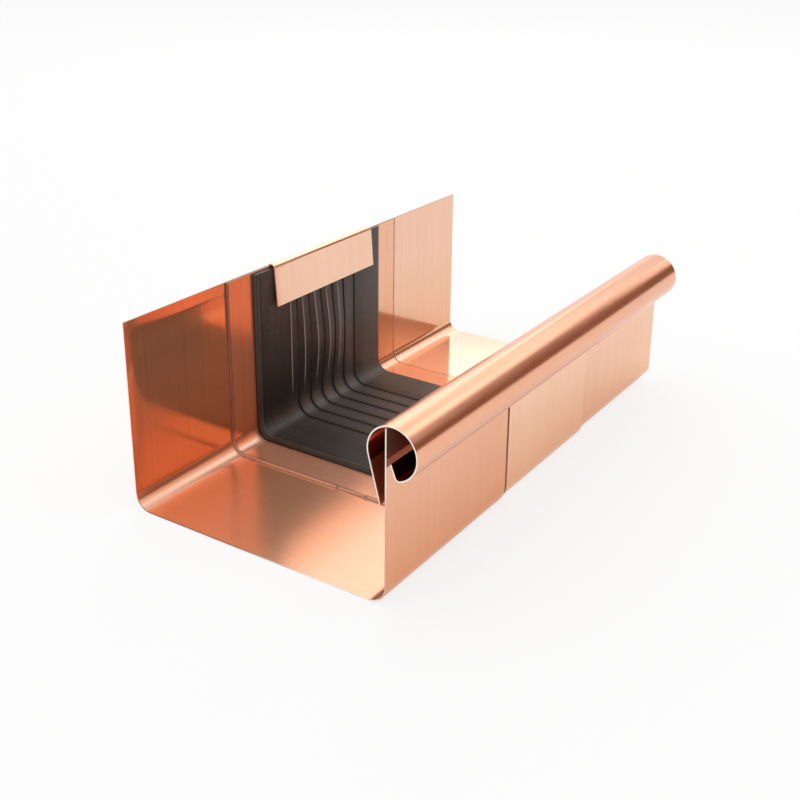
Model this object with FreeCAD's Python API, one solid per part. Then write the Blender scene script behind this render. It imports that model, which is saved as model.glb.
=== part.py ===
import FreeCAD, Part
import math
import os

# Gutter expansion joint: two box gutter ends in copper sheet, one sliding in the other, with a rubber web.
# Millimetres. +X runs along the gutter to the sliding end, +Y from the bead to the back wall, +Z up.
# The origin is the middle of the bounding box's underside.

# Driving dimensions of the gutter
LENGTH = 300.0
BASE_WIDTH = 152.0
BACK_HEIGHT = 100.0
FRONT_HEIGHT = 86.6
BEND_RADIUS = 9.5
SHEET = 0.7

# Lengths of the sheets and of their laps
NEAR_GUTTER_LENGTH = 107.0
SOLDERED_LAP = 34.6
SLIDE_SHEET_BARE_LENGTH = 91.5
FAR_GUTTER_LAP = 57.0
STRIP_SETBACK = 0.3
NEAR_STRIP_BARE = 19.3
FAR_STRIP_BARE = 18.0
STRIP_UNDER_RUBBER = 18.0
FAR_FRONT_DROP = 3.8
TRAVEL = 10.0

# Clearances between the fixed and the sliding side
SLIDE_GAP = 0.4
SOFT_GAP = 0.3
TOP_GAP = 0.6

# Rubber web
RUBBER_LENGTH = 117.0
RUBBER_THICKNESS = 1.3
RUBBER_BELOW_FRONT = 4.0
FIRST_GROOVE = 34.7
GROOVES = 6
GROOVE_PITCH = 11.0
GROOVE_TOP_WIDTH = 1.6
GROOVE_FLOOR_WIDTH = 0.5
GROOVE_DEPTH = 0.8
SHOULDER_RISE = 0.9
SHOULDER_RUN = 1.7

# Top fold of the sliding sheet over the back wall
FOLD_DROP = 0.8
FOLD_LEG = 21.5
FOLD_FOOT_OUT = 1.6

# Bead cover on the front wall
BEAD_LENGTH = 285.0
BEAD_RADIUS = 12.8
BEAD_CENTRE_OUT = 2.7
BEAD_SEAT_GAP = 0.6
LEG_ANGLE = -16.0
LEG_DROP = 25.5
LEG_SPRING_LENGTH = 7.0
CURL_ANGLE = 250.0
CURL_RADIUS = 2.4
LIP_ANGLE = 338.5
LIP_LENGTH = 6.0

# Places along the length, from the near end
SLIDE_SHEET_START = NEAR_GUTTER_LENGTH - SOLDERED_LAP
SLIDE_SHEET_END = NEAR_GUTTER_LENGTH + SLIDE_SHEET_BARE_LENGTH
NEAR_STRIP_START = SLIDE_SHEET_START + STRIP_SETBACK
RUBBER_START = NEAR_STRIP_START + NEAR_STRIP_BARE
RUBBER_END = RUBBER_START + RUBBER_LENGTH
NEAR_STRIP_END = RUBBER_START + STRIP_UNDER_RUBBER
FAR_STRIP_START = RUBBER_END - STRIP_UNDER_RUBBER
FAR_STRIP_END = RUBBER_END + FAR_STRIP_BARE
FAR_GUTTER_START = SLIDE_SHEET_END - FAR_GUTTER_LAP
LEG_REST_START = RUBBER_START - LEG_SPRING_LENGTH
LEG_REST_END = FAR_STRIP_END + TRAVEL

# Depths of the layers, inwards from the near gutter's outer face
SLIDE_DEPTH = SHEET
NEAR_STRIP_DEPTH = SLIDE_DEPTH + SHEET
FAR_GUTTER_DEPTH = SLIDE_DEPTH + SHEET + SLIDE_GAP
FAR_STRIP_DEPTH = FAR_GUTTER_DEPTH + SHEET
RUBBER_NEAR_BACK = NEAR_STRIP_DEPTH + SHEET
RUBBER_FAR_BACK = FAR_STRIP_DEPTH + SHEET + SOFT_GAP
RUBBER_FACE = RUBBER_FAR_BACK + RUBBER_THICKNESS
LEG_TIP_AT_ENDS = FAR_STRIP_DEPTH + SLIDE_GAP
LEG_TIP_ON_RUBBER = RUBBER_FACE + SOFT_GAP

# Places across the width, and heights
BACK_Y = (BASE_WIDTH + BEAD_RADIUS + BEAD_CENTRE_OUT) / 2
FRONT_Y = BACK_Y - BASE_WIDTH
INNER_TOP = BACK_HEIGHT - TOP_GAP
RUBBER_FRONT_HEIGHT = FRONT_HEIGHT - RUBBER_BELOW_FRONT
FAR_FRONT_HEIGHT = FRONT_HEIGHT - FAR_FRONT_DROP
FOLD_RADIUS = (RUBBER_FACE + SOFT_GAP + SHEET - SLIDE_DEPTH) / 2
FOLD_CENTRE_HEIGHT = BACK_HEIGHT - FOLD_DROP
BEAD_SEAT_RISE = math.sqrt((BEAD_RADIUS - SHEET) ** 2 - (BEAD_CENTRE_OUT + SHEET) ** 2)
BEAD_CENTRE_HEIGHT = FRONT_HEIGHT + BEAD_SEAT_GAP - BEAD_SEAT_RISE
LEG_TIP_HEIGHT = BEAD_CENTRE_HEIGHT - LEG_DROP


def point(from_near_end, y, z):
    return FreeCAD.Vector(from_near_end - LENGTH / 2, y, z)


def line(a, b):
    return Part.LineSegment(a, b).toShape()


def around(x, centre, radius, angle):
    """A point on a circle across the length; angle 0 points to the back, 90 up."""
    turn = math.radians(angle)
    return point(x, centre[0] + radius * math.cos(turn), centre[1] + radius * math.sin(turn))


def arc(x, centre, radius, start, end):
    middle = (start + end) / 2
    places = [around(x, centre, radius, angle) for angle in (start, middle, end)]
    return Part.Arc(*places).toShape()


def solid_along(edges, length):
    face = Part.Face(Part.Wire(Part.__sortEdges__(edges)))
    return face.extrude(FreeCAD.Vector(length, 0, 0))


# U-shaped sheets
def u_line(x, depth, back_top, front_top):
    """The edges of one U at a depth inside the near gutter's outer face, and its two ends."""
    radius = BEND_RADIUS - depth
    back_centre = (BACK_Y - BEND_RADIUS, BEND_RADIUS)
    front_centre = (FRONT_Y + BEND_RADIUS, BEND_RADIUS)
    back_end = point(x, BACK_Y - depth, back_top)
    front_end = point(x, FRONT_Y + depth, front_top)
    edges = [
        line(back_end, around(x, back_centre, radius, 0)),
        arc(x, back_centre, radius, 0, -90),
        line(around(x, back_centre, radius, -90), around(x, front_centre, radius, -90)),
        arc(x, front_centre, radius, -90, -180),
        line(around(x, front_centre, radius, -180), front_end),
    ]
    return edges, back_end, front_end


def u_sheet(start, end, depth, back_top, front_top):
    outer, outer_back, outer_front = u_line(start, depth, back_top, front_top)
    inner, inner_back, inner_front = u_line(start, depth + SHEET, back_top, front_top)
    ends = [line(outer_back, inner_back), line(outer_front, inner_front)]
    return solid_along(outer + inner + ends, end - start)


def near_gutter():
    return u_sheet(0, NEAR_GUTTER_LENGTH, 0, BACK_HEIGHT, FRONT_HEIGHT)


def far_gutter():
    return u_sheet(FAR_GUTTER_START, LENGTH, FAR_GUTTER_DEPTH, INNER_TOP, FAR_FRONT_HEIGHT)


def near_strip():
    return u_sheet(NEAR_STRIP_START, NEAR_STRIP_END, NEAR_STRIP_DEPTH, BACK_HEIGHT, RUBBER_FRONT_HEIGHT)


def far_strip():
    return u_sheet(FAR_STRIP_START, FAR_STRIP_END, FAR_STRIP_DEPTH, INNER_TOP, RUBBER_FRONT_HEIGHT)


# Sliding sheet: a U soldered into the near gutter, its back edge folded over the far gutter and the rubber
def slide_sheet():
    lap_end = NEAR_GUTTER_LENGTH
    inside = u_sheet(SLIDE_SHEET_START, lap_end, SLIDE_DEPTH, BACK_HEIGHT, FRONT_HEIGHT)
    outside = u_sheet(lap_end, SLIDE_SHEET_END, SLIDE_DEPTH, FOLD_CENTRE_HEIGHT, FRONT_HEIGHT)
    return inside.fuse([outside, top_fold(lap_end)]).removeSplitter()


def top_fold(x):
    centre = (BACK_Y - SLIDE_DEPTH - FOLD_RADIUS, FOLD_CENTRE_HEIGHT)
    inner_radius = FOLD_RADIUS - SHEET
    foot_height = FOLD_CENTRE_HEIGHT - FOLD_LEG
    outer_foot = point(x, centre[0] - FOLD_RADIUS - FOLD_FOOT_OUT, foot_height)
    inner_foot = point(x, centre[0] - inner_radius - FOLD_FOOT_OUT, foot_height)
    edges = [
        line(around(x, centre, inner_radius, 0), around(x, centre, FOLD_RADIUS, 0)),
        arc(x, centre, FOLD_RADIUS, 0, 180),
        line(around(x, centre, FOLD_RADIUS, 180), outer_foot),
        line(outer_foot, inner_foot),
        line(inner_foot, around(x, centre, inner_radius, 180)),
        arc(x, centre, inner_radius, 180, 0),
    ]
    return solid_along(edges, SLIDE_SHEET_BARE_LENGTH)


# Rubber web: one moulded strip with flat edge bands and grooves between, bent round the U
def web_outline():
    """Corners of the strip's section, as distance from the near end and depth."""
    corners = [
        (RUBBER_END, RUBBER_FAR_BACK),
        (NEAR_STRIP_END, RUBBER_FAR_BACK),
        (NEAR_STRIP_END, RUBBER_NEAR_BACK),
        (RUBBER_START, RUBBER_NEAR_BACK),
        (RUBBER_START, RUBBER_NEAR_BACK + SHOULDER_RISE),
        (RUBBER_START + SHOULDER_RUN, RUBBER_FACE),
    ]
    for number in range(GROOVES):
        x = RUBBER_START + FIRST_GROOVE + number * GROOVE_PITCH
        corners.append((x - GROOVE_TOP_WIDTH / 2, RUBBER_FACE))
        corners.append((x - GROOVE_FLOOR_WIDTH / 2, RUBBER_FACE - GROOVE_DEPTH))
        corners.append((x + GROOVE_FLOOR_WIDTH / 2, RUBBER_FACE - GROOVE_DEPTH))
        corners.append((x + GROOVE_TOP_WIDTH / 2, RUBBER_FACE))
    corners.append((RUBBER_END - SHOULDER_RISE, RUBBER_FACE))
    corners.append((RUBBER_END, RUBBER_FACE - SHOULDER_RISE))
    return corners


def web_face(place):
    corners = [place(x, depth) for x, depth in web_outline()]
    return Part.Face(Part.makePolygon(corners + corners[:1]))


def rubber_web():
    back_axis = FreeCAD.Vector(0, BACK_Y - BEND_RADIUS, BEND_RADIUS)
    front_axis = FreeCAD.Vector(0, FRONT_Y + BEND_RADIUS, BEND_RADIUS)
    along = FreeCAD.Vector(1, 0, 0)
    up = FreeCAD.Vector(0, 0, 1)
    to_front = front_axis - back_axis
    back = web_face(lambda x, depth: point(x, BACK_Y - depth, BEND_RADIUS))
    floor_back = web_face(lambda x, depth: point(x, back_axis.y, depth))
    floor_front = web_face(lambda x, depth: point(x, front_axis.y, depth))
    front = web_face(lambda x, depth: point(x, FRONT_Y + depth, BEND_RADIUS))
    stretches = [
        back.extrude(up * (INNER_TOP - BEND_RADIUS)),
        back.revolve(back_axis, along, -90),
        floor_back.extrude(to_front),
        floor_front.revolve(front_axis, along, -90),
        front.extrude(up * (RUBBER_FRONT_HEIGHT - BEND_RADIUS)),
    ]
    return stretches[0].fuse(stretches[1:]).removeSplitter()


# Bead cover: one sheet rolled over the front wall, with a curl outside and a sprung leg inside
def bead_cover():
    places = [0, LEG_REST_START, LEG_REST_END, BEAD_LENGTH]
    tips = [LEG_TIP_AT_ENDS, LEG_TIP_ON_RUBBER, LEG_TIP_ON_RUBBER, LEG_TIP_AT_ENDS]
    sections = [leg_section(x, tip) for x, tip in zip(places, tips)]
    legs = [Part.makeLoft([a, b], True, True) for a, b in zip(sections, sections[1:])]
    return bead_roll().fuse(legs).removeSplitter()


def bead_centre():
    return FRONT_Y - BEAD_CENTRE_OUT, BEAD_CENTRE_HEIGHT


def bead_roll():
    centre = bead_centre()
    inner_radius = BEAD_RADIUS - SHEET
    turn = math.radians(CURL_ANGLE)
    reach = BEAD_RADIUS - CURL_RADIUS
    curl = (centre[0] + reach * math.cos(turn), centre[1] + reach * math.sin(turn))
    lip = math.radians(LIP_ANGLE + 90)
    lip_run = FreeCAD.Vector(0, math.cos(lip), math.sin(lip)) * LIP_LENGTH
    lip_outer = around(0, curl, CURL_RADIUS, LIP_ANGLE)
    lip_inner = around(0, curl, CURL_RADIUS - SHEET, LIP_ANGLE)
    edges = [
        arc(0, centre, BEAD_RADIUS, LEG_ANGLE, CURL_ANGLE),
        arc(0, curl, CURL_RADIUS, CURL_ANGLE, LIP_ANGLE),
        line(lip_outer, lip_outer + lip_run),
        line(lip_outer + lip_run, lip_inner + lip_run),
        line(lip_inner + lip_run, lip_inner),
        arc(0, curl, CURL_RADIUS - SHEET, LIP_ANGLE, CURL_ANGLE),
        arc(0, centre, inner_radius, CURL_ANGLE, LEG_ANGLE),
        line(around(0, centre, inner_radius, LEG_ANGLE), around(0, centre, BEAD_RADIUS, LEG_ANGLE)),
    ]
    return solid_along(edges, BEAD_LENGTH)


def leg_section(x, tip_depth):
    """Outline of the leg at one place, from the roll down to a tip that far inside the front face."""
    top_wall_side = around(x, bead_centre(), BEAD_RADIUS - SHEET, LEG_ANGLE)
    top_gutter_side = around(x, bead_centre(), BEAD_RADIUS, LEG_ANGLE)
    tip = point(x, FRONT_Y + tip_depth, LEG_TIP_HEIGHT)
    down = (tip - top_wall_side).normalize()
    across = FreeCAD.Vector(0, -down.z, down.y) * SHEET
    return Part.makePolygon([top_wall_side, tip, tip + across, top_gutter_side, top_wall_side])


PIECES = {
    "near_gutter": near_gutter,
    "slide_sheet": slide_sheet,
    "near_strip": near_strip,
    "rubber_web": rubber_web,
    "far_strip": far_strip,
    "far_gutter": far_gutter,
    "bead_cover": bead_cover,
}

os.makedirs("parts", exist_ok=True)
for name, make in PIECES.items():
    make().exportStep(f"parts/{name}.step")
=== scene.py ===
import math

import bmesh
import bpy
from mathutils import Matrix, Vector


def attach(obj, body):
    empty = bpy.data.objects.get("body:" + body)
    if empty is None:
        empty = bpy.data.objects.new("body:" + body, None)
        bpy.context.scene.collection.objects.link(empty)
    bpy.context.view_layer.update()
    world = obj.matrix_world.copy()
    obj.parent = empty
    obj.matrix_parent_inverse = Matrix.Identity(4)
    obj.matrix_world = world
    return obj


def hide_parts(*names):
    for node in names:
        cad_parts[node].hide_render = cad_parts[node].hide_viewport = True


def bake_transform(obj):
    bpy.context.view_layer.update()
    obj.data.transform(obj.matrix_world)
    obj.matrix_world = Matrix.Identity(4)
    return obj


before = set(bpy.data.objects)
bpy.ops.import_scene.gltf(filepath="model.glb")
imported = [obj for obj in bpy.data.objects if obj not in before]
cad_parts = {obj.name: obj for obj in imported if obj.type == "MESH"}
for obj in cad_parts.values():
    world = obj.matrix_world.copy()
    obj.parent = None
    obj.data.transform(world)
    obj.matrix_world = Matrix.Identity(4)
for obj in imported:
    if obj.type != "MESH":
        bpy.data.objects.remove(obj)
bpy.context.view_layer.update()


# The near gutter end: a box gutter in new copper sheet, 0.7 mm thick, bent once as a U with soft bends.
# The sheet is bright from the rolls, with a fine grain across the gutter, and its sheared edges stay pale.
# The free edge of the back wall leans out a little, as a sheared edge does.
def node(material, kind, **settings):
    """A new node with its settings."""
    made = material.node_tree.nodes.new(kind)
    for name, value in settings.items():
        setattr(made, name, value)
    return made


def feed(material, socket, value):
    """Give a socket its value: a number, a colour or another node's output."""
    if isinstance(value, bpy.types.NodeSocket):
        material.node_tree.links.new(value, socket)
    else:
        socket.default_value = value


def stretched_noise(material, stretch, detail):
    """Noise on the object's own coordinates, with its own fineness along, across and up the gutter."""
    place = node(material, "ShaderNodeTexCoord")
    mapping = node(material, "ShaderNodeMapping")
    mapping.inputs["Scale"].default_value = stretch
    noise = node(material, "ShaderNodeTexNoise")
    noise.inputs["Scale"].default_value = 1.0
    noise.inputs["Detail"].default_value = detail
    feed(material, mapping.inputs["Vector"], place.outputs["Object"])
    feed(material, noise.inputs["Vector"], mapping.outputs["Vector"])
    return noise.outputs["Fac"]


def spread(material, value, low, high, start=0.3, end=0.7):
    """The stretch of a value from start to end, laid out from low to high; as set, a noise's middle."""
    laid = node(material, "ShaderNodeMapRange")
    laid.inputs["From Min"].default_value = start
    laid.inputs["From Max"].default_value = end
    laid.inputs["To Min"].default_value = low
    laid.inputs["To Max"].default_value = high
    feed(material, laid.inputs["Value"], value)
    return laid.outputs["Result"]


def worked_out(material, operation, a, b=0.0):
    """One step of arithmetic between two values."""
    step = node(material, "ShaderNodeMath", operation=operation)
    feed(material, step.inputs[0], a)
    feed(material, step.inputs[1], b)
    return step.outputs[0]


def product(material, first, *others):
    """All the values multiplied together."""
    result = first
    for value in others:
        result = worked_out(material, "MULTIPLY", result, value)
    return result


def mixed(material, blend_type, share, under, over):
    """One colour laid over another, by a share."""
    mix = node(material, "ShaderNodeMix", data_type="RGBA", blend_type=blend_type)
    colours = [socket for socket in mix.inputs if socket.type == "RGBA"]
    feed(material, mix.inputs["Factor"], share)
    feed(material, colours[0], under)
    feed(material, colours[1], over)
    return [socket for socket in mix.outputs if socket.type == "RGBA"][0]


def relief(material, height, distance, over=None):
    """A bump of that height, laid over another one."""
    bump = node(material, "ShaderNodeBump")
    bump.inputs["Strength"].default_value = 1.0
    bump.inputs["Distance"].default_value = distance
    feed(material, bump.inputs["Height"], height)
    if over:
        feed(material, bump.inputs["Normal"], over)
    return bump.outputs["Normal"]


def surface_axes(material):
    """The object's own x, y and z at the surface."""
    place = node(material, "ShaderNodeTexCoord")
    axes = node(material, "ShaderNodeSeparateXYZ")
    feed(material, axes.inputs["Vector"], place.outputs["Object"])
    return axes.outputs


def surface_facing(material):
    """The x, y and z of the way that the surface faces."""
    geometry = node(material, "ShaderNodeNewGeometry")
    axes = node(material, "ShaderNodeSeparateXYZ")
    feed(material, axes.inputs["Vector"], geometry.outputs["True Normal"])
    return axes.outputs


def within(material, value, start, end, soft):
    """1 between two limits and 0 outside, with soft borders."""
    rise = spread(material, value, 0.0, 1.0, start - soft, start)
    fall = spread(material, value, 1.0, 0.0, end, end + soft)
    return product(material, rise, fall)


NEAR_END = -0.150
EDGE_LEANS_FROM = 0.0925
BEND_STEEPEST_AT = 0.0745


def leaning_edge(material, along):
    """Slope of the back wall's free edge, which leans out near its top, more softly at the near end."""
    slope = 0.12
    above = worked_out(material, "SUBTRACT", along["Z"], EDGE_LEANS_FROM)
    soft = spread(material, above, 0.0, slope, 0.0, 0.0055)
    firm = spread(material, above, 0.0, slope, 0.0, 0.0025)
    past_near_end = spread(material, along["X"], 0.0, 1.0, -0.145, -0.112)
    firmer = product(material, past_near_end, worked_out(material, "SUBTRACT", firm, soft))
    return worked_out(material, "ADD", soft, firmer)


def curved_end(material, along):
    """Slope of the back wall's sheared near end, which curves away over its last 12 mm."""
    near = spread(material, along["X"], 1.0, 0.0, NEAR_END, NEAR_END + 0.012)
    on_back = spread(material, along["Y"], 0.0, 1.0, 0.080, 0.082)
    steepest = -0.24
    return product(material, near, near, on_back, steepest)


def eased_bend(material, along):
    """Slope of the floor where it eases into the back wall's bend: a pressed bend is never a true arc."""
    low = spread(material, along["Z"], 1.0, 0.0, 0.003, 0.006)
    towards = spread(material, along["Y"], 0.0, 1.0, 0.060, BEND_STEEPEST_AT)
    away = spread(material, along["Y"], 1.0, 0.0, BEND_STEEPEST_AT, 0.0785)
    steepest = -0.10
    return product(material, towards, towards, away, low, steepest)


def turned(material, x, y, z):
    """The surface's own normal, turned a little by a slope along each axis."""
    geometry = node(material, "ShaderNodeNewGeometry")
    slope = node(material, "ShaderNodeCombineXYZ")
    for socket, value in zip(slope.inputs, (x, y, z)):
        feed(material, socket, value)
    added = node(material, "ShaderNodeVectorMath", operation="ADD")
    feed(material, added.inputs[0], geometry.outputs["Normal"])
    feed(material, added.inputs[1], slope.outputs["Vector"])
    even = node(material, "ShaderNodeVectorMath", operation="NORMALIZE")
    feed(material, even.inputs[0], added.outputs["Vector"])
    return even.outputs["Vector"]


ROLL_MARK = (0.95, 0.925, 0.91, 1)
BRUSH_LINE = (0.95, 0.93, 0.92, 1)
RED_PATCH = (0.97, 0.90, 0.85, 1)
PAINTED_SHADE_FOOT = (0.98, 0.76, 0.54, 1)
PAINTED_BEND_HIGHLIGHT = (1.0, 0.70, 0.52, 1)
RED_CORNER = (1.0, 0.87, 0.74, 1)


def sheet_colour(material, along, facing, grain, patches, in_bend, light, dark, roll_marks, back_tint):
    """The sheet's colour, with grain, roll marks and patches, redder near the near corner; painted shade
    makes the walls darker and redder low down, and a painted highlight pales the bend.
    """
    upright = spread(material, worked_out(material, "ABSOLUTE", facing["Z"]), 1.0, 0.0, 0.5, 0.9)
    colour = mixed(material, "MIX", spread(material, grain, 0, 1), light, dark)
    if roll_marks:
        marks = spread(material, stretched_noise(material, (330, 1.5, 1.5), 2), 0.0, roll_marks)
        marks = product(material, marks, worked_out(material, "SUBTRACT", 1.0, in_bend))
        colour = mixed(material, "MULTIPLY", marks, colour, ROLL_MARK)
    colour = mixed(material, "MULTIPLY", spread(material, patches, 0, 0.30), colour, RED_PATCH)

    # Painted shade: the walls are multiplied darker and redder towards their foot.
    foot = product(material, spread(material, along["Z"], 0.80, 0.0, 0.004, 0.070), upright)
    colour = mixed(material, "MULTIPLY", foot, colour, PAINTED_SHADE_FOOT)
    # Painted highlight: the bend is mixed towards pale cream.
    colour = mixed(material, "MIX", product(material, in_bend, 0.4), colour, PAINTED_BEND_HIGHLIGHT)

    flattest = worked_out(material, "MAXIMUM", worked_out(material, "ABSOLUTE", facing["Z"]),
                          worked_out(material, "ABSOLUTE", facing["Y"]))
    near_corner = product(material, spread(material, along["Y"], 0.0, 1.0, -0.03, 0.06),
                          spread(material, along["X"], 1.0, 0.0, -0.045, -0.04),
                          worked_out(material, "GREATER_THAN", flattest, 0.99))
    colour = mixed(material, "MULTIPLY", near_corner, colour, RED_CORNER)

    if back_tint:
        on_back = product(material, upright, spread(material, along["Y"], 0.0, 1.0, 0.0765, 0.0785))
        colour = mixed(material, "MULTIPLY", on_back, colour, back_tint)
        brushed = product(material, on_back, spread(material, grain, 0.0, 1.0))
        colour = mixed(material, "MULTIPLY", brushed, colour, BRUSH_LINE)
    return colour


PAINTED_SHADE_BROWN = (0.33, 0.16, 0.09, 1)
FLUX_BURN = (0.42, 0.32, 0.30, 1)
SHADED_RED = (0.72, 0.46, 0.34, 1)
OXIDE_BROWN = (0.42, 0.20, 0.11, 1)


def sheared_colour(material, along, cut_edge):
    """The cut edge's colour: browned by painted shade low at the near end, burnt by flux near the seam,
    redder below the roll in painted shade.
    """
    # Painted shade: the near end's cut edge is browned at the floor.
    shaded_low_end = product(material, spread(material, along["Y"], 0.0, 1.0, -0.03, 0.02),
                      spread(material, along["Z"], 1.0, 0.0, 0.004, 0.008),
                      spread(material, along["X"], 1.0, 0.0, -0.140, -0.130))
    colour = mixed(material, "MIX", shaded_low_end, cut_edge, PAINTED_SHADE_BROWN)
    flux_burnt = product(material, within(material, along["X"], -0.130, -0.062, 0.008),
                         spread(material, along["Z"], 0.0, 1.0, 0.006, 0.014))
    colour = mixed(material, "MULTIPLY", flux_burnt, colour, FLUX_BURN)
    below_roll = product(material, spread(material, along["Z"], 1.0, 0.0, 0.045, 0.060),
                         spread(material, along["Y"], 1.0, 0.0, -0.066, -0.064))
    return mixed(material, "MIX", below_roll, colour, SHADED_RED)


def rolled_copper(name, cut_edge, light, dark, haze, gloss, shape=None, floor_gloss=0.0, back_tint=None,
                  waviness=0.00022, roll_marks=1.0):
    """Copper sheet: a mirror with a share of fine brushed haze, dull on its top edge and where sheared."""
    material = bpy.data.materials.new(name)
    material.use_nodes = True
    shader = material.node_tree.nodes["Principled BSDF"]
    shader.inputs["Anisotropic"].default_value = 0.4
    shader.inputs["Anisotropic Rotation"].default_value = 0.25
    around = node(material, "ShaderNodeTangent", direction_type="RADIAL", axis="X")
    feed(material, shader.inputs["Tangent"], around.outputs["Tangent"])

    along = surface_axes(material)
    facing = surface_facing(material)
    in_bend = product(material, spread(material, along["Y"], 0.0, 1.0, 0.067, 0.076),
                      spread(material, along["Z"], 1.0, 0.0, 0.004, 0.009))
    patches = stretched_noise(material, (22, 16, 16), 3)
    grain = worked_out(material, "SUBTRACT", stretched_noise(material, (1100, 3, 3), 2), 0.5)
    grain = product(material, grain, worked_out(material, "SUBTRACT", 1.0, in_bend))
    grain = worked_out(material, "ADD", grain, 0.5)

    sheared = worked_out(material, "GREATER_THAN", worked_out(material, "ABSOLUTE", facing["X"]), 0.8)
    level = worked_out(material, "GREATER_THAN", facing["Z"], 0.97)
    top_edge = product(material, level, within(material, along["Z"], 0.0985, 0.1004, 0.0001))
    colour = sheet_colour(material, along, facing, grain, patches, in_bend,
                          light, dark, roll_marks, back_tint)
    colour = mixed(material, "MIX", top_edge, colour, OXIDE_BROWN)
    colour = mixed(material, "MIX", sheared, colour, sheared_colour(material, along, cut_edge))
    feed(material, shader.inputs["Base Color"], colour)

    dull = worked_out(material, "MAXIMUM", sheared, top_edge)
    outer_front = product(material, spread(material, facing["Y"], 0.12, 0.0, -0.9, -0.7),
                          spread(material, along["Y"], 1.0, 0.0, -0.060, -0.055))
    mirror = worked_out(material, "ADD", spread(material, grain, *haze), outer_front)
    mirror = worked_out(material, "SUBTRACT", mirror, product(material, dull, 0.3))
    feed(material, shader.inputs["Metallic"], mirror)

    matt = worked_out(material, "MAXIMUM", product(material, dull, 0.5), product(material, in_bend, 0.28))
    if floor_gloss:
        matt = worked_out(material, "MAXIMUM", matt, product(material, level, floor_gloss))
    feed(material, shader.inputs["Roughness"],
         worked_out(material, "MAXIMUM", spread(material, patches, *gloss), matt))

    surface = shape(material, along) if shape else None
    waves = stretched_noise(material, (13, 10, 10), 1)
    feed(material, shader.inputs["Normal"], relief(material, waves, waviness, surface))
    return material


def dress(node_name, material):
    """Put a material in every slot of a CAD node."""
    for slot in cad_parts[node_name].material_slots:
        slot.material = material


def near_gutter_shape(material, along):
    """The curved end, the eased bend and the leaning edge together."""
    return turned(material, curved_end(material, along), eased_bend(material, along),
                  leaning_edge(material, along))


CREAM_EDGE = (1.0, 0.90, 0.79, 1)
BRIGHT_COPPER = ((0.930, 0.515, 0.338, 1), (0.938, 0.523, 0.345, 1))
BRIGHT_GLOSS = (0.08, 0.14)
dress("near_gutter", rolled_copper("copper_near_gutter", CREAM_EDGE, *BRIGHT_COPPER, (0.692, 0.700),
                                   BRIGHT_GLOSS, near_gutter_shape, floor_gloss=0.23,
                                   back_tint=(1.0, 0.86, 0.82, 1)))


# The sliding sheet: an inner U of the same copper, soldered into the near gutter. It is a shade paler.
# Its back edge is folded over the wall's top and hangs down in front of the rubber as a plain pale strip.
def folded_strip_shape(material, along):
    """The hanging strip faces a little towards the far end and up."""
    strip = product(material, spread(material, along["Y"], 1.0, 0.0, 0.0785, 0.0790),
                    spread(material, along["Z"], 1.0, 0.0, 0.0985, 0.0998),
                    spread(material, along["Y"], 0.0, 1.0, 0.070, 0.072),
                    spread(material, along["Z"], 0.0, 1.0, 0.050, 0.051))
    return turned(material, product(material, strip, 0.06), 0.0, product(material, strip, 0.03))


SOLDERED_EDGE = (0.88, 0.64, 0.52, 1)
PALE_COPPER = ((0.970, 0.630, 0.455, 1), (0.976, 0.640, 0.465, 1))
dress("slide_sheet", rolled_copper("copper_sliding_sheet", SOLDERED_EDGE, *PALE_COPPER, (0.795, 0.805),
                                   BRIGHT_GLOSS, folded_strip_shape, roll_marks=0.5))


# The two copper strips that carry the rubber, one on each gutter end, soldered down along their outer edge.
# The near one is duller than the gutters, from the heat and the flux of the soldering.
FLUXED_EDGE = (0.80, 0.55, 0.44, 1)
FLUXED_COPPER = ((0.93, 0.52, 0.365, 1), (0.955, 0.55, 0.39, 1))
dress("near_strip", rolled_copper("copper_near_strip", FLUXED_EDGE, *FLUXED_COPPER, (0.56, 0.64),
                                  (0.16, 0.24), back_tint=(1.0, 0.80, 0.74, 1)))
dress("far_strip", rolled_copper("copper_far_strip", SOLDERED_EDGE, *BRIGHT_COPPER, (0.72, 0.80),
                                 (0.09, 0.15)))


# The far gutter end: another U bent from one sheet, which slides inside the sliding sheet.
# It is bright sheet, nearly as pale as that one, and its sheared end stays pale.
FAR_COPPER = ((0.950, 0.605, 0.440, 1), (0.958, 0.618, 0.452, 1))
dress("far_gutter", rolled_copper("copper_far_gutter", CREAM_EDGE, *FAR_COPPER, (0.76, 0.80), BRIGHT_GLOSS))


# The seams: a thin dark line in the corner at each sheet's edge, all round the U. At the near strip it is
# solder and burnt flux darkened as painted contact shade; at the near gutter's outer end and the far strip's
# end it is painted shade of the gap behind the edge.
# Three small tacks of solder hold the near strip. Shapes are drawn in millimetres and brought to metres.
MM = 0.001
BACK_WALL = 83.75
FRONT_WALL = -68.25
COPPER_BEND = 9.5


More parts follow.
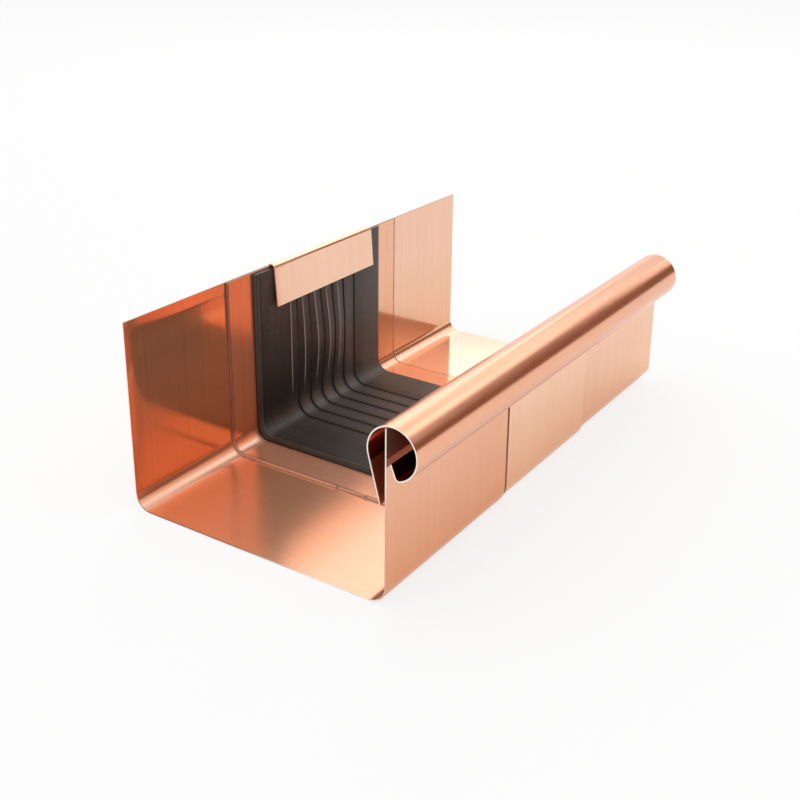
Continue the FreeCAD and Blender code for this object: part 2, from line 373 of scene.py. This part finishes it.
def seam_line(name, x, depth, width, height, back_top, front_top):
    """A thin dark line, for solder and for painted gap shade, that lies on the sheet at a depth inside the
    near gutter's outer face.
    """
    shape = bmesh.new()
    bmesh.ops.create_circle(shape, segments=8, radius=0.5)
    bmesh.ops.scale(shape, verts=shape.verts, vec=(width, height, 1))
    bmesh.ops.translate(shape, verts=shape.verts, vec=(x, BACK_WALL - depth, back_top))
    edges = shape.edges[:]

    def straight(edges, way):
        geometry = bmesh.ops.extrude_edge_only(shape, edges=edges)["geom"]
        moved = [item for item in geometry if isinstance(item, bmesh.types.BMVert)]
        bmesh.ops.translate(shape, verts=moved, vec=way)
        return [item for item in geometry if isinstance(item, bmesh.types.BMEdge)
                and all(vert in moved for vert in item.verts)]

    def bend(edges, y):
        swept = bmesh.ops.spin(shape, geom=edges, cent=(x, y, COPPER_BEND), axis=(1, 0, 0), dvec=(0, 0, 0),
                               angle=math.radians(-90), steps=8, use_duplicate=False)
        return [item for item in swept["geom_last"] if isinstance(item, bmesh.types.BMEdge)]

    edges = straight(edges, (0, 0, COPPER_BEND - back_top))
    edges = bend(edges, BACK_WALL - COPPER_BEND)
    edges = straight(edges, (0, FRONT_WALL - BACK_WALL + 2 * COPPER_BEND, 0))
    edges = bend(edges, FRONT_WALL + COPPER_BEND)
    straight(edges, (0, 0, front_top - COPPER_BEND))
    bmesh.ops.holes_fill(shape, edges=[edge for edge in shape.edges if edge.is_boundary], sides=0)
    bmesh.ops.scale(shape, verts=shape.verts, vec=(MM, MM, MM))
    bmesh.ops.recalc_face_normals(shape, faces=shape.faces)
    for face in shape.faces:
        face.smooth = len(face.verts) == 4
    mesh = bpy.data.meshes.new(name)
    shape.to_mesh(mesh)
    shape.free()
    line = bpy.data.objects.new(name, mesh)
    bpy.context.scene.collection.objects.link(line)
    return line


def dull_line_material(name, light, dark, roughness):
    """Dull solder, flux and painted gap shade, blotched and grainy."""
    material = bpy.data.materials.new(name)
    material.use_nodes = True
    shader = material.node_tree.nodes["Principled BSDF"]
    shader.inputs["Metallic"].default_value = 0.1
    shader.inputs["Roughness"].default_value = roughness
    blotches = spread(material, stretched_noise(material, (180, 180, 180), 4), 0, 1)
    feed(material, shader.inputs["Base Color"], mixed(material, "MIX", blotches, light, dark))
    grains = stretched_noise(material, (2500, 2500, 2500), 2)
    feed(material, shader.inputs["Normal"], relief(material, grains, 0.00003))
    return material


# Painted shade: the near seam lines are flux darkened as contact shade; the outer and far seam lines are
# dark lines set where there is only the shadowed gap behind a sheet's end.
brown_flux_and_shade = dull_line_material("brown_flux_and_shade", (0.12, 0.045, 0.025, 1), (0.05, 0.02, 0.012, 1), 0.6)
outer_gap_shade = dull_line_material("outer_gap_shade", (0.36, 0.14, 0.07, 1), (0.24, 0.09, 0.045, 1), 0.6)
grey_solder_and_gap_shade = dull_line_material("grey_solder_and_gap_shade", (0.40, 0.27, 0.21, 1), (0.16, 0.10, 0.08, 1), 0.5)
for line_name, line_material, body, line_at in (
    ("near_seam_foot", brown_flux_and_shade, "near_side", (-77.7, 0.70, 0.34, 0.24, 99.5, 84.0)),
    ("near_seam_top", brown_flux_and_shade, "near_side", (-76.9, 2.09, 0.40, 0.16, 99.5, 81.5)),
    ("outer_seam", outer_gap_shade, "near_side", (-41.4, 0.62, 3.2, 0.3, 99.0, 85.5)),
    ("far_seam", grey_solder_and_gap_shade, "far_side", (78.0, 2.52, 1.8, 0.3, 99.0, 81.5)),
):
    line = seam_line(line_name, *line_at)
    line.data.materials.append(line_material)
    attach(line, body)

tacks = bmesh.new()
for place, size in (
    ((-77.4, 82.0, 93.0), (1.6, 0.7, 2.0)),
    ((-77.5, 11.5, 1.8), (1.8, 1.6, 0.7)),
    ((-77.5, -6.5, 1.8), (1.2, 1.5, 0.6)),
):
    blob = bmesh.ops.create_icosphere(tacks, subdivisions=3, radius=0.5)["verts"]
    bmesh.ops.scale(tacks, verts=blob, vec=size)
    bmesh.ops.translate(tacks, verts=blob, vec=place)
bmesh.ops.scale(tacks, verts=tacks.verts, vec=(MM, MM, MM))
for face in tacks.faces:
    face.smooth = True
tack_mesh = bpy.data.meshes.new("solder_tacks")
tacks.to_mesh(tack_mesh)
tacks.free()
tack_mesh.materials.append(grey_solder_and_gap_shade)
solder_tacks = bpy.data.objects.new("solder_tacks", tack_mesh)
bpy.context.scene.collection.objects.link(solder_tacks)
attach(solder_tacks, "near_side")


# The rubber web: one moulded strip of black rubber, bonded to the two copper strips and left slack between.
# Its edges have a rounded shoulder with a thin rim. Six grooves let it fold; on the wall it bellies inwards.
WALL_TOP = 99.4
WALL_FOOT = 16.0
FRONT_TOP = 82.6
FLOOR_BACK = 66.0
FLOOR_FRONT = -50.0
BACKING = 2.1
FAR_BACKING = 3.5
FACE = 4.8
FACE_BEND = 8.5
RUBBER_NEAR = -58.0
RUBBER_FAR = 59.0
NEAR_STRIP_END = -40.0
FIRST_GROOVE = -23.3
GROOVE_PITCH = 11.0
GROOVES = [FIRST_GROOVE + number * GROOVE_PITCH for number in range(6)]
GROOVE_DEPTH = 0.8
GROOVE_MOUTH = 0.8
GROOVE_FLOOR = 0.3
FOLD_LINE = 0.46
CREASES = [place - (1 - FOLD_LINE) * GROOVE_PITCH for place in GROOVES[:-1]]
CREASE_HEIGHT = 0.25
CREASE_TIP = 0.14
BELLY_DEPTH = 2.7
BELLY_FOOT = 12
BELLY_REACH = 66
BELLY_MARGIN = 7
ON_BACK_FROM = 60
SAME_PLACE = 0.1


def groove_points(place):
    """The four corners of a groove in the rubber's face."""
    return [(place - GROOVE_MOUTH, FACE), (place - GROOVE_FLOOR, FACE - GROOVE_DEPTH),
            (place + GROOVE_FLOOR, FACE - GROOVE_DEPTH), (place + GROOVE_MOUTH, FACE)]


near_rim = ((0.0, -1.9), (0.25, -1.3), (1.2, -0.35), (1.7, 0.05), (2.0, 0.1), (2.4, -0.12), (3.0, -0.2),
            (3.8, -0.03), (5.0, 0.0))
far_rim = ((-14.0, 0.0), (-3.0, 0.0), (-1.2, -0.1), (-0.4, -0.4), (0.0, -0.9))
face_line = [(RUBBER_NEAR + inwards, FACE + rise) for inwards, rise in near_rim]
face_line.append((NEAR_STRIP_END, FACE))
for place, crease in zip(GROOVES, CREASES):
    face_line += [(crease + beside, FACE) for beside in (-2.2, -0.5, 0.0, 0.5, 2.6)]
    face_line += groove_points(place)
face_line += [(GROOVES[-1] - 8.0, FACE), (GROOVES[-1] - 4.0, FACE)]
face_line += groove_points(GROOVES[-1])
face_line += [(RUBBER_FAR + inwards, FACE + rise) for inwards, rise in far_rim]
outline = [(RUBBER_FAR, FAR_BACKING), (NEAR_STRIP_END, FAR_BACKING), (NEAR_STRIP_END, BACKING),
           (RUBBER_NEAR, BACKING)] + face_line


def ease(value, start, end):
    """0 before start, 1 after end, smooth between."""
    share = min(1.0, max(0.0, (value - start) / (end - start)))
    return share * share * (3 - 2 * share)


def belly(x, height):
    """How far the slack web stands in from the wall."""
    across = (x - GROOVES[0] + BELLY_MARGIN) / (GROOVES[-1] - GROOVES[0] + BELLY_MARGIN)
    up = (height - BELLY_FOOT) / BELLY_REACH
    if not (0 < across < 1 and 0 < up < 1):
        return 0.0
    return BELLY_DEPTH * math.sin(math.pi * across) ** 1.5 * math.sin(math.pi * up) ** 2


def crease_rise(x, height):
    """How far each rib is creased up along its crease line."""
    for place, crease in zip(GROOVES, CREASES):
        start, end = place - GROOVE_PITCH + GROOVE_MOUTH, place - GROOVE_MOUTH
        if start < x < end:
            side = crease - start if x < crease else end - crease
            tent = 1 - abs(x - crease) / side
            tip = CREASE_TIP if abs(x - crease) < SAME_PLACE else 0
            reach = ease(height, 14, 30) * (1 - 0.75 * ease(height, 66, 77))
            return (CREASE_HEIGHT * tent + tip) * reach
    return 0.0


def bend_stations(side, wall):
    """Points on the rubber's face and on its copper side, round the bend at the foot of a wall."""
    centre = FACE + FACE_BEND
    copper_radius = COPPER_BEND - BACKING
    points = []
    for step in range(10):
        turn = math.radians(90 * step / 9)
        run, rise = math.cos(turn), math.sin(turn)
        on_face = (wall - side * (centre - FACE_BEND * run), centre - FACE_BEND * rise)
        on_copper = (wall - side * (COPPER_BEND - copper_radius * run), COPPER_BEND - copper_radius * rise)
        points.append((on_face, on_copper))
    return points


stations = []
for step in range(33):
    height = WALL_TOP - (WALL_TOP - WALL_FOOT) * step / 32
    stations.append(((BACK_WALL - FACE, height), (BACK_WALL - BACKING, height)))
stations += bend_stations(1, BACK_WALL)
for step in range(1, 16):
    y = FLOOR_BACK - (FLOOR_BACK - FLOOR_FRONT) * step / 16
    stations.append(((y, FACE), (y, BACKING)))
stations += bend_stations(-1, FRONT_WALL)[::-1]
for step in range(16):
    height = WALL_FOOT + (FRONT_TOP - WALL_FOOT) * step / 15
    stations.append(((FRONT_WALL + FACE, height), (FRONT_WALL + BACKING, height)))


def web_place(x, depth, station):
    """Where a point of the outline lies at a station, with the belly and the creases on the back wall."""
    (face_y, face_z), (back_y, back_z) = station
    share = (FACE - depth) / (FACE - BACKING)
    y = face_y + (back_y - face_y) * share
    z = face_z + (back_z - face_z) * share
    if face_y > BACK_WALL - FACE - 0.01 and depth > FAR_BACKING:
        y -= belly(x, face_z) + crease_rise(x, face_z)
    return Vector((x, y, z)) * MM


web = bmesh.new()
ring = [web.verts.new(web_place(x, depth, stations[0])) for x, depth in outline]
loop = [web.edges.new((a, b)) for a, b in zip(ring, ring[1:] + ring[:1])]
first_loop = loop
for station in stations[1:]:
    pulled = bmesh.ops.extrude_edge_only(web, edges=loop)["geom"]
    following = {v: e.other_vert(v) for v in ring for e in v.link_edges if e.other_vert(v) in pulled}
    ring = [following[v] for v in ring]
    for vert, (x, depth) in zip(ring, outline):
        vert.co = web_place(x, depth, station)
    loop = [web.edges.get((a, b)) for a, b in zip(ring, ring[1:] + ring[:1])]
bmesh.ops.contextual_create(web, geom=first_loop)
bmesh.ops.contextual_create(web, geom=loop)
bmesh.ops.recalc_face_normals(web, faces=web.faces)
for face in web.faces:
    face.smooth = True
web_mesh = bpy.data.meshes.new("rubber_strip")
web.to_mesh(web_mesh)
web.free()
web_mesh.set_sharp_from_angle(angle=math.radians(40))


def painted_crease_highlight(x, up_wall):
    """Painted highlight: a thin pale line along each crease line on the back wall, and a fainter one on the
    near rim.
    """
    on_rim = 0.3 if abs(x - RUBBER_NEAR - 2.0) < SAME_PLACE else 0.0
    off_crease = min(abs(x - crease) for crease in CREASES)
    return max(on_rim, up_wall if off_crease < SAME_PLACE else 0.0)


def painted_lightening(x, height, up_wall):
    """Painted light: the rubber is paler towards the far side, higher up the back wall, and just past each
    crease line.
    """
    past_crease = min((x - crease for crease in CREASES if x > crease - SAME_PLACE), default=99.0)
    on_back = 0.22 + 0.50 * ease(x, -5, 45) + 0.2 * ease(height, 30, 90)
    on_floor = 0.1 + 1.1 * ease(x, -48, -5)
    broad = on_floor + (on_back - on_floor) * ease(height, 8, 40)
    return max(up_wall * max(0.0, 0.5 - past_crease / 12), broad)


def painted_shading(x, y, height, up_wall):
    """Painted shade: the rubber is darkened in its grooves, beside its rim, along its near edge and in the
    near corner of the back wall.
    """
    off_groove = min(abs(x - place) for place in GROOVES)
    to_left = up_wall * ease(-x, -12, 18)
    line = 0.0
    if abs(x - RUBBER_NEAR - 3.0) < SAME_PLACE or x < RUBBER_NEAR + SAME_PLACE:
        line = 0.8
    if off_groove < GROOVE_FLOOR + SAME_PLACE:
        line = 1 - 0.7 * to_left
    elif off_groove < GROOVE_MOUTH + SAME_PLACE:
        line = 0.6 - 0.6 * to_left
    if y <= ON_BACK_FROM:
        return line
    in_corner = 0.72 * ease(height, 12, 20) * (1 - ease(height, 22, 52)) * (1 - ease(x, -15, 30))
    return max(line, in_corner)


painted_highlight = web_mesh.attributes.new("painted_highlight", "FLOAT", "POINT")
lighter = web_mesh.attributes.new("lighter", "FLOAT", "POINT")
deep = web_mesh.attributes.new("deep", "FLOAT", "POINT")
for number, vert in enumerate(web_mesh.vertices):
    x, y, height = vert.co / MM
    up_wall = ease(height, 16, 32) if y > ON_BACK_FROM else 0.0
    painted_highlight.data[number].value = painted_crease_highlight(x, up_wall)
    lighter.data[number].value = painted_lightening(x, height, up_wall)
    deep.data[number].value = painted_shading(x, y, height, up_wall)
rubber_strip = bpy.data.objects.new("rubber_strip", web_mesh)
bpy.context.scene.collection.objects.link(rubber_strip)

black_rubber = bpy.data.materials.new("moulded_black_rubber")
black_rubber.use_nodes = True
rubber_shader = black_rubber.node_tree.nodes["Principled BSDF"]
mottle = stretched_noise(black_rubber, (60, 60, 60), 5)
specks = stretched_noise(black_rubber, (1300, 1300, 1300), 3)
draw_lines = stretched_noise(black_rubber, (1000, 9, 9), 2)
is_light = node(black_rubber, "ShaderNodeAttribute", attribute_name="lighter").outputs["Fac"]
is_deep = node(black_rubber, "ShaderNodeAttribute", attribute_name="deep").outputs["Fac"]
is_painted_highlight = node(black_rubber, "ShaderNodeAttribute", attribute_name="painted_highlight").outputs["Fac"]
BLACKEST = (0.036, 0.028, 0.023, 1)
BLACK = (0.060, 0.046, 0.038, 1)
PAINTED_LIGHT_GREY = (0.138, 0.113, 0.095, 1)
DRAW_LINE = (0.50, 0.47, 0.46, 1)
SPECK = (0.62, 0.60, 0.59, 1)
PAINTED_SHADE_BLACK = (0.010, 0.008, 0.007, 1)
PAINTED_HIGHLIGHT_PALE = (0.74, 0.66, 0.61, 1)
tone = mixed(black_rubber, "MIX", spread(black_rubber, mottle, 0, 1), BLACKEST, BLACK)
tone = mixed(black_rubber, "MULTIPLY", spread(black_rubber, draw_lines, 0, 1.0), tone, DRAW_LINE)
# Painted light: the rubber is mixed towards a paler grey.
tone = mixed(black_rubber, "MIX", product(black_rubber, is_light, 0.6), tone, PAINTED_LIGHT_GREY)
tone = mixed(black_rubber, "MULTIPLY", spread(black_rubber, specks, 0, 0.7), tone, SPECK)
# Painted shade: the rubber is mixed towards near black in its grooves, beside its rim and in the near
# corner.
tone = mixed(black_rubber, "MIX", is_deep, tone, PAINTED_SHADE_BLACK)
# Painted highlight: a thin pale line along the crease lines and the near rim, broken up by the specks.
highlight_share = product(black_rubber, is_painted_highlight, spread(black_rubber, specks, 0.6, 1.0))
tone = mixed(black_rubber, "MIX", highlight_share, tone, PAINTED_HIGHLIGHT_PALE)
feed(black_rubber, rubber_shader.inputs["Base Color"], tone)
feed(black_rubber, rubber_shader.inputs["Roughness"], spread(black_rubber, specks, 0.30, 0.46))
skin = relief(black_rubber, specks, 0.00026)
feed(black_rubber, rubber_shader.inputs["Normal"], relief(black_rubber, draw_lines, 0.00003, skin))
web_mesh.materials.append(black_rubber)

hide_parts("rubber_web")
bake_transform(rubber_strip)


# The bead cover: one sheet rolled round the front wall's top, with a curl outside and a sprung leg inside.
# The roll's grain runs round it and its sheared end shows as a pale line. Inside it is tarnished and
# darkened by painted shade, darkest low in the curl's pocket.
BEAD_Y = -0.07095
BEAD_Z = 0.07559
ROLL_RADIUS = 0.0128
BEAD_COPPER = ((0.885, 0.445, 0.282, 1), (0.895, 0.455, 0.29, 1))
TARNISH_AND_SHADE = (0.98, 0.44, 0.32, 1)
PAINTED_POCKET_SHADE = (0.28, 0.18, 0.18, 1)
bead_copper = rolled_copper("copper_bead_cover", CREAM_EDGE, *BEAD_COPPER, (0.84, 0.88), (0.19, 0.24),
                            waviness=0.00010, roll_marks=0.0)
bead_shader = bead_copper.node_tree.nodes["Principled BSDF"]
bead_axes = surface_axes(bead_copper)
across = worked_out(bead_copper, "POWER", worked_out(bead_copper, "SUBTRACT", bead_axes["Y"], BEAD_Y), 2.0)
upwards = worked_out(bead_copper, "POWER", worked_out(bead_copper, "SUBTRACT", bead_axes["Z"], BEAD_Z), 2.0)
from_axis = worked_out(bead_copper, "SQRT", worked_out(bead_copper, "ADD", across, upwards))
end_share = worked_out(bead_copper, "ABSOLUTE", surface_facing(bead_copper)["X"])
within_roll = spread(bead_copper, from_axis, 1.0, 0.0, ROLL_RADIUS - 0.0005, ROLL_RADIUS - 0.0002)
inside = product(bead_copper, within_roll, spread(bead_copper, end_share, 1.0, 0.0, 0.7, 0.8))
shaded_pocket = product(bead_copper, inside, spread(bead_copper, bead_axes["Z"], 1.0, 0.0, 0.070, 0.078))
bare_colour = bead_shader.inputs["Base Color"].links[0].from_socket
# Tarnish and painted shade inside the roll, and more painted shade low in the curl's pocket.
tarnished_and_shaded = mixed(bead_copper, "MULTIPLY", inside, bare_colour, TARNISH_AND_SHADE)
tarnished_and_shaded = mixed(bead_copper, "MULTIPLY", shaded_pocket, tarnished_and_shaded, PAINTED_POCKET_SHADE)
feed(bead_copper, bead_shader.inputs["Base Color"], tarnished_and_shaded)
pebbles = stretched_noise(bead_copper, (800, 800, 800), 2)
wavy = bead_shader.inputs["Normal"].links[0].from_socket
feed(bead_copper, bead_shader.inputs["Normal"], relief(bead_copper, pebbles, 0.000012, wavy))
dress("bead_cover", bead_copper)


# The studio: a white floor that runs out of sight under a bright surround, which is brown low down in front.
# The bright metal mirrors both. Five soft lamps light the object and stay out of the camera's sight.
FLOOR_REACH = 6.0
FLOOR_DROP = 0.0003
FLOOR_SEEN_WHITE = 0.78
floor_mesh = bpy.data.meshes.new("studio_floor")
floor_shape = bmesh.new()
bmesh.ops.create_grid(floor_shape, x_segments=1, y_segments=1, size=FLOOR_REACH)
bmesh.ops.translate(floor_shape, verts=floor_shape.verts, vec=(0, 0, -FLOOR_DROP))
floor_shape.to_mesh(floor_mesh)
floor_shape.free()
studio_floor = bpy.data.objects.new("studio_floor", floor_mesh)
bpy.context.scene.collection.objects.link(studio_floor)

white_floor = bpy.data.materials.new("white_floor")
white_floor.use_nodes = True
lit_floor = white_floor.node_tree.nodes["Principled BSDF"]
lit_floor.inputs["Base Color"].default_value = (0.95, 0.95, 0.95, 1)
lit_floor.inputs["Roughness"].default_value = 1.0
lit_floor.inputs["Specular IOR Level"].default_value = 0.0
white_glow = node(white_floor, "ShaderNodeEmission")
white_glow.inputs["Strength"].default_value = 1.0
ray = node(white_floor, "ShaderNodeLightPath")
seen = product(white_floor, ray.outputs["Is Camera Ray"], FLOOR_SEEN_WHITE)
floor_place = surface_axes(white_floor)
slant = product(white_floor, floor_place["X"], 0.386)
front_border = worked_out(white_floor, "ADD", floor_place["Y"], slant)
past_far_end = product(white_floor, spread(white_floor, floor_place["X"], 0.0, 1.0, 0.152, 0.180),
                       spread(white_floor, front_border, 0.0, 1.0, -0.027, -0.016))
away_in_front = spread(white_floor, floor_place["Y"], 0.40, 1.0, -0.075, -0.165)
by_metal = worked_out(white_floor, "ADD", ray.outputs["Is Glossy Ray"], ray.outputs["Is Transmission Ray"])
mirrored = product(white_floor, by_metal, worked_out(white_floor, "MAXIMUM", past_far_end, away_in_front))
floor_mix = node(white_floor, "ShaderNodeMixShader")
feed(white_floor, floor_mix.inputs["Fac"], worked_out(white_floor, "MAXIMUM", seen, mirrored))
feed(white_floor, floor_mix.inputs[1], lit_floor.outputs["BSDF"])
feed(white_floor, floor_mix.inputs[2], white_glow.outputs["Emission"])
floor_output = white_floor.node_tree.nodes["Material Output"]
feed(white_floor, floor_output.inputs["Surface"], floor_mix.outputs["Shader"])
floor_mesh.materials.append(white_floor)

WHITE = (1.0, 1.0, 1.0, 1)
PALE_GREY = (0.85, 0.85, 0.85, 1)
LAMP_GREY = (0.84, 0.84, 0.84, 1)
DARK_BROWN = (0.24, 0.115, 0.07, 1)
surround = bpy.data.worlds.new("studio_surround")
bpy.context.scene.world = surround
surround.use_nodes = True
direction = node(surround, "ShaderNodeTexCoord")
axes = node(surround, "ShaderNodeSeparateXYZ")
feed(surround, axes.inputs["Vector"], direction.outputs["Generated"])
x_way, y_way, z_way = axes.outputs
low_in_front = product(surround, spread(surround, y_way, 0.0, 1.0, -0.05, -0.35),
                       spread(surround, z_way, 1.0, 0.14, 0.28, 0.44))
overhead = spread(surround, z_way, 0.0, 1.0, 0.5, 0.9)
behind_lamps = product(surround, spread(surround, x_way, 0.0, 1.0, 0.4, 0.6),
                       within(surround, z_way, 0.40, 0.72, 0.06),
                       spread(surround, y_way, 0.0, 1.0, -0.35, -0.20))
dark_corner = product(surround, spread(surround, x_way, 0.0, 1.0, 0.735, 0.760),
                      spread(surround, y_way, 0.0, 1.0, -0.08, -0.16),
                      spread(surround, z_way, 1.0, 0.0, 0.45, 0.54))
room = mixed(surround, "MIX", low_in_front, WHITE, DARK_BROWN)
room = mixed(surround, "MIX", overhead, room, PALE_GREY)
room = mixed(surround, "MIX", behind_lamps, room, LAMP_GREY)
room = mixed(surround, "MIX", dark_corner, room, DARK_BROWN)
sky_ray = node(surround, "ShaderNodeLightPath")
room = mixed(surround, "MIX", sky_ray.outputs["Is Camera Ray"], room, WHITE)
feed(surround, surround.node_tree.nodes["Background"].inputs["Color"], room)

for lamp_name, place, size, brightness in (
    ("right_softbox", (1.39, 0.94, 1.09), (0.81, 0.92), 1.10),
    ("middle_softbox", (1.58, -0.06, 1.25), (1.25, 0.60), 0.75),
    ("left_softbox", (1.28, -0.60, 1.41), (0.90, 0.50), 0.55),
    ("small_softbox", (0.527, -0.160, 0.245), (0.14, 0.10), 1.05),
    ("top_softbox", (-0.2, -0.2, 1.8), (1.8, 1.8), 0.30),
):
    lamp = bpy.data.lights.new(lamp_name, "AREA")
    lamp.shape = "RECTANGLE"
    lamp.size, lamp.size_y = size
    lamp.energy = brightness * math.pi * size[0] * size[1]
    lamp_object = bpy.data.objects.new(lamp_name, lamp)
    lamp_object.location = place
    lamp_object.visible_camera = False
    lamp_object.rotation_euler = Vector(place).to_track_quat("Z", "Y").to_euler()
    bpy.context.scene.collection.objects.link(lamp_object)

CAMERA_PLACE = Vector((-0.51072, -0.31211, 0.29962))
camera = bpy.data.cameras.new("camera")
camera.sensor_width = 36.0
camera.lens = 52.72
camera.shift_y = -0.1
camera.clip_start = 0.01
camera_object = bpy.data.objects.new("camera", camera)
bpy.context.scene.collection.objects.link(camera_object)
turn, rise, roll = math.radians(-56.613), math.radians(20.756), math.radians(0.549)
towards_camera = Vector((math.sin(turn) * math.cos(rise), -math.cos(turn) * math.cos(rise), math.sin(rise)))
level_right = Vector((math.cos(turn), math.sin(turn), 0))
level_up = towards_camera.cross(level_right)
right = level_right * math.cos(roll) + level_up * math.sin(roll)
up = towards_camera.cross(right)
facing = Matrix((right, up, towards_camera)).transposed().to_4x4()
camera_object.matrix_world = Matrix.Translation(CAMERA_PLACE) @ facing
bpy.context.scene.camera = camera_object
bpy.context.scene.view_settings.view_transform = "Standard"
